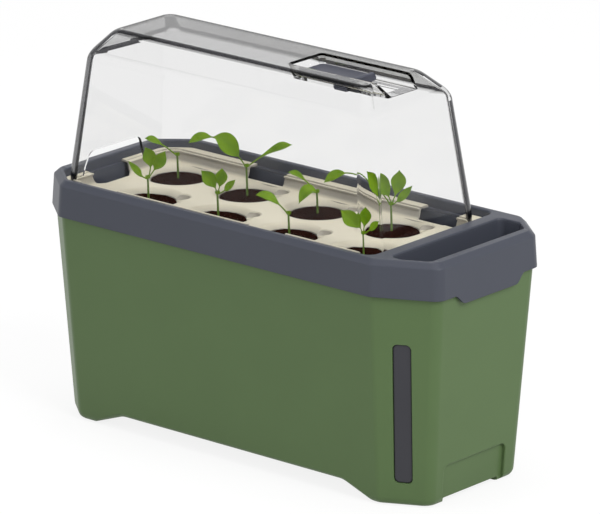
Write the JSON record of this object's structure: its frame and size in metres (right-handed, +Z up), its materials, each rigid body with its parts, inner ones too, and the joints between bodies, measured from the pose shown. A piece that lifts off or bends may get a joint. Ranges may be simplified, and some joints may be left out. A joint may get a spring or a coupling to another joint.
{
  "type": "self-watering herb planter",
  "caption": "Window-sill herb planter: tapered water tank, collar insert with fill trough, tray of seedlings in soil plugs, clear cover with a sliding vent.",
  "frame": {"origin": "on the ground under the middle of the tank", "axes": "+Z up, +X towards the end with the fill trough, -Y towards the front with the water gauge"},
  "size_m": [0.383, 0.162, 0.3017],
  "materials": {
    "tank_green": "moulded, satin",
    "window_smoke": "clear, smoked",
    "seal_rubber": "moulded",
    "cage_dark": "moulded",
    "float_white": "foamed",
    "insert_slate": "moulded, satin",
    "felt": "needled felt",
    "tray_cream": "moulded, satin",
    "soil": "pressed coir and peat",
    "leaf_green": "living leaf",
    "cover_clear": "clear, polished",
    "slide_slate": "moulded, satin"
  },
  "bodies": {
    "tank": {"water_tank": "tank_green", "gauge_window": "window_smoke", "gauge_seal": "seal_rubber", "float_cage": "cage_dark"},
    "float": {"level_float": "float_white"},
    "insert": {"collar": "insert_slate", "planting_tub": "insert_slate", "fill_trough": "insert_slate", "wick_mat": "felt", "wick_left": "felt", "wick_right": "felt"},
    "tray": {"seedling_tray": "tray_cream", "plug_cup_1": "tray_cream", "plug_cup_2": "tray_cream", "plug_cup_3": "tray_cream", "plug_cup_4": "tray_cream", "plug_cup_5": "tray_cream", "plug_cup_6": "tray_cream", "plug_cup_7": "tray_cream", "plug_cup_8": "tray_cream", "soil_plug_1": "soil", "soil_plug_2": "soil", "soil_plug_3": "soil", "soil_plug_4": "soil", "soil_plug_5": "soil", "soil_plug_6": "soil", "soil_plug_7": "soil", "soil_plug_8": "soil", "seedling_1": "leaf_green", "seedling_2": "leaf_green", "seedling_3": "leaf_green", "seedling_4": "leaf_green", "seedling_5": "leaf_green", "seedling_6": "leaf_green", "seedling_7": "leaf_green", "seedling_8": "leaf_green"},
    "dome": {"dome_cover": "cover_clear"},
    "slide": {"vent_slide": "slide_slate"}
  },
  "joints": [
    {"name": "float_rise", "type": "slide", "parent": "tank", "child": "float", "axis": [0.033, -0.066, 0.9973], "range_m": [0, 0.0985]},
    {"name": "insert_lift", "type": "slide", "parent": "tank", "child": "insert", "axis": [0, 0, 1], "range_m": [0, 0.18]},
    {"name": "tray_lift", "type": "slide", "parent": "insert", "child": "tray", "axis": [0, 0, 1], "range_m": [0, 0.075]},
    {"name": "dome_lift", "type": "slide", "parent": "tray", "child": "dome", "axis": [0, 0, 1], "range_m": [0, 0.08]},
    {"name": "vent_slide", "type": "slide", "parent": "dome", "child": "slide", "axis": [1, 0, 0], "range_m": [0, 0.03]}
  ]
}
